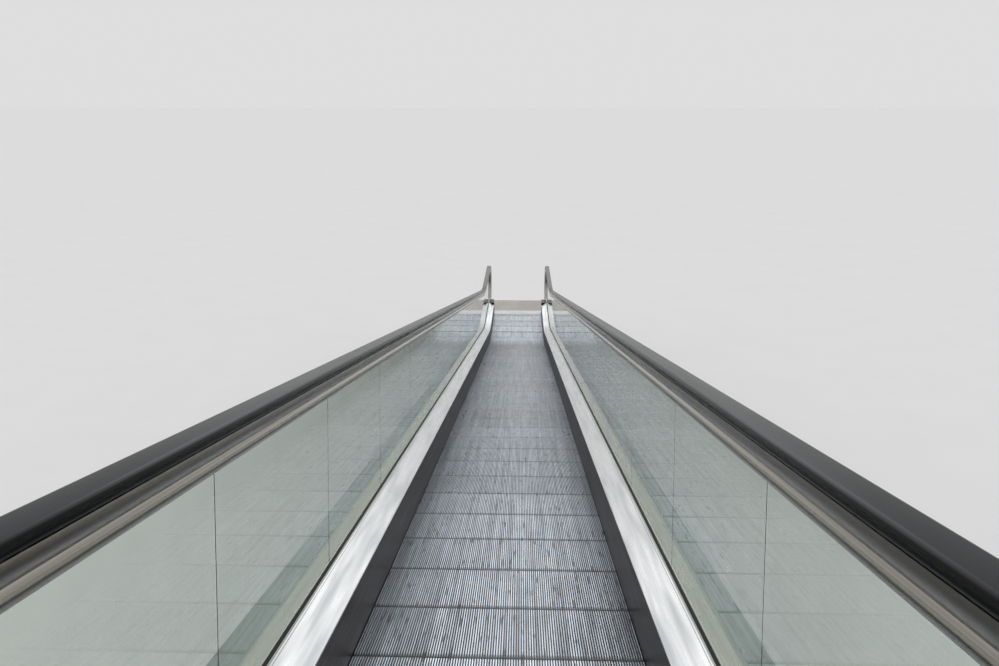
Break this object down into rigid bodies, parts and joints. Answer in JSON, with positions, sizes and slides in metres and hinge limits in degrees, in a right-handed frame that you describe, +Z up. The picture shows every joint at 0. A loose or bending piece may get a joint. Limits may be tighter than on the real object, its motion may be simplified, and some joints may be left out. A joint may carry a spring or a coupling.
{
  "type": "inclined moving walk",
  "caption": "Inclined moving walk: flat ribbed pallets on a lattice truss between glass balustrades with black handrails, combs, landing plates and support angles at both ends.",
  "frame": {"origin": "middle of the bearing face of the lower support angle, on the walk's centre plane", "axes": "+Y along the walk towards the lower landing, +X to the right of someone riding down, +Z up"},
  "size_m": [1.56, 24.6071, 5.57],
  "materials": {
    "truss_steel": "grey painted hollow steel sections",
    "sheet_steel": "galvanised sheet",
    "track_steel": "rolled zinc-plated track",
    "pallet_aluminium": "die-cast and ribbed, worn",
    "chain_steel": "oiled steel chain",
    "roller_plastic": "moulded polyurethane rollers",
    "shaft_steel": "turned steel",
    "drive_paint": "enamelled cast housing",
    "comb_aluminium": "die-cast comb and ribbed plate",
    "floor_aluminium": "ribbed landing plate, worn",
    "frame_steel": "brushed stainless",
    "skirt_paint": "dark low-friction coated sheet",
    "deck_stainless": "brushed stainless",
    "outer_deck_stainless": "satin stainless",
    "clamp_aluminium": "anodised pale",
    "balustrade_glass": "clear toughened, green-grey edge",
    "guide_stainless": "satin stainless",
    "handrail_rubber": "glossy black",
    "cap_plastic": "black moulded",
    "support_steel": "primed rolled angle"
  },
  "bodies": {
    "root": {"truss_left": "truss_steel", "truss_right": "truss_steel", "truss_cross_beams": "truss_steel", "bottom_sheets": "sheet_steel", "lower_end_plate": "truss_steel", "upper_end_plate": "truss_steel", "lower_support_angle": "support_steel", "upper_support_angle": "support_steel", "carrying_tracks": "track_steel", "return_tracks": "track_steel", "track_brackets": "truss_steel", "pallets": "pallet_aluminium", "lower_comb_pallets": "pallet_aluminium", "upper_comb_pallets": "pallet_aluminium", "return_pallets": "pallet_aluminium", "chain_left": "chain_steel", "chain_right": "chain_steel", "chain_rollers": "roller_plastic", "lower_turn_shaft": "shaft_steel", "upper_drive_shaft": "shaft_steel", "drive_unit": "drive_paint", "lower_comb_plate": "comb_aluminium", "upper_comb_plate": "comb_aluminium", "lower_floor_plates": "floor_aluminium", "upper_floor_plates": "floor_aluminium", "lower_landing_frame": "frame_steel", "upper_landing_frame": "frame_steel", "skirt_left": "skirt_paint", "skirt_right": "skirt_paint", "inner_deck_left": "deck_stainless", "inner_deck_right": "deck_stainless", "outer_deck_left": "outer_deck_stainless", "outer_deck_right": "outer_deck_stainless", "glass_clamp_left": "clamp_aluminium", "glass_clamp_right": "clamp_aluminium", "glass_left": "balustrade_glass", "glass_right": "balustrade_glass", "handrail_guide_left": "guide_stainless", "handrail_guide_right": "guide_stainless", "handrail_left": "handrail_rubber", "handrail_right": "handrail_rubber", "lower_inlet_caps": "cap_plastic", "upper_inlet_caps": "cap_plastic", "deck_brackets_left": "track_steel", "deck_brackets_right": "track_steel"}
  },
  "joints": []
}
